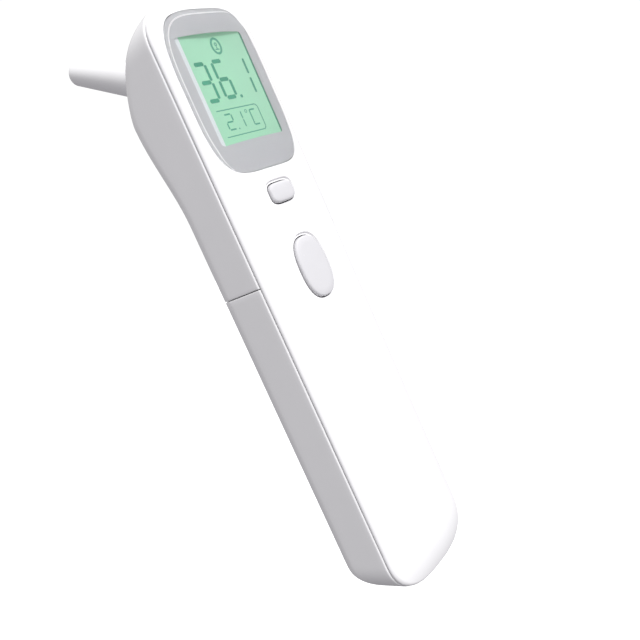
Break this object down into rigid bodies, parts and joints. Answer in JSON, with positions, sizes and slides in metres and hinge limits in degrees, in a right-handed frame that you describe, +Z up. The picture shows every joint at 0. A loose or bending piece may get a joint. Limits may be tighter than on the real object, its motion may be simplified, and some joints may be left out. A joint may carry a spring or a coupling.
{
  "type": "ear thermometer",
  "caption": "Slim hand-held ear thermometer with a large display, push buttons, a sliding battery cover and a tapered sensing probe angled off the back of its head.",
  "frame": {"origin": "middle of the hand grip: on the centre plane, 46 mm above the bottom end and 6.4 mm behind the seam of the two shells", "axes": "+Z up the body from the grip to the head, the display and the buttons face -Y, the probe points to +Y and up, +X is to the right of someone looking at the display"},
  "size_m": [0.0326, 0.0539, 0.1578],
  "materials": {
    "shell_white": "smooth gloss",
    "lens_clear": "clear moulded plastic",
    "mask_grey": "printed film",
    "frame_white": "moulded",
    "lcd_green": "lit display glass with darker segments",
    "backlight_green": "diffusing panel",
    "contact_rubber": "layered strip",
    "board_green": "solder mask",
    "chip_black": "moulded package",
    "parts_tan": "ceramic bodies",
    "buzzer_black": "moulded",
    "socket_ivory": "moulded",
    "flex_amber": "polyimide ribbon",
    "button_white": "satin gloss",
    "plunger_black": "moulded",
    "switch_steel": "stamped",
    "probe_white": "smooth gloss",
    "window_dark": "polished infrared filter",
    "sleeve_gold": "plated tube",
    "can_steel": "drawn cap",
    "holder_alloy": "turned",
    "seal_black": "soft ring",
    "tray_white": "moulded",
    "cell_jacket": "plain printed jacket",
    "spring_steel": "drawn wire",
    "contact_steel": "plated strip",
    "screw_steel": "plated"
  },
  "bodies": {
    "housing": {"front_shell": "shell_white", "display_lens": "lens_clear", "lens_mask": "mask_grey", "lcd_frame": "frame_white", "lcd_glass": "lcd_green", "backlight_panel": "backlight_green", "contact_strip": "contact_rubber", "main_board": "board_green", "controller_chip": "chip_black", "board_parts": "parts_tan", "buzzer": "buzzer_black", "sensor_socket": "socket_ivory", "sensor_flex": "flex_amber", "mode_switch": "switch_steel", "scan_switch": "switch_steel", "rear_shell": "shell_white", "probe_cone": "probe_white", "probe_window": "window_dark", "sensor_sleeve": "sleeve_gold", "sensor_can": "can_steel", "sensor_holder": "holder_alloy", "seal_ring": "seal_black", "battery_tray": "tray_white", "battery_left": "cell_jacket", "battery_right": "cell_jacket", "battery_springs": "spring_steel", "supply_contacts": "contact_steel", "bridge_contact": "contact_steel", "housing_screws": "screw_steel", "board_screws": "screw_steel"},
    "mode_key": {"mode_button": "button_white", "mode_plunger": "plunger_black"},
    "scan_key": {"scan_button": "button_white", "scan_plunger": "plunger_black"},
    "cover": {"battery_cover": "shell_white"}
  },
  "joints": [
    {"name": "mode_press", "type": "slide", "parent": "housing", "child": "mode_key", "axis": [0, 1, 0], "range_m": [0, 0.0005], "stiffness_N_per_m": 2000, "springref_m": -0.0003},
    {"name": "scan_press", "type": "slide", "parent": "housing", "child": "scan_key", "axis": [0, 1, 0], "range_m": [0, 0.0006], "stiffness_N_per_m": 2000, "springref_m": -0.0003},
    {"name": "cover_slide", "type": "slide", "parent": "housing", "child": "cover", "axis": [0, 0, -1], "range_m": [0, 0.086]}
  ]
}
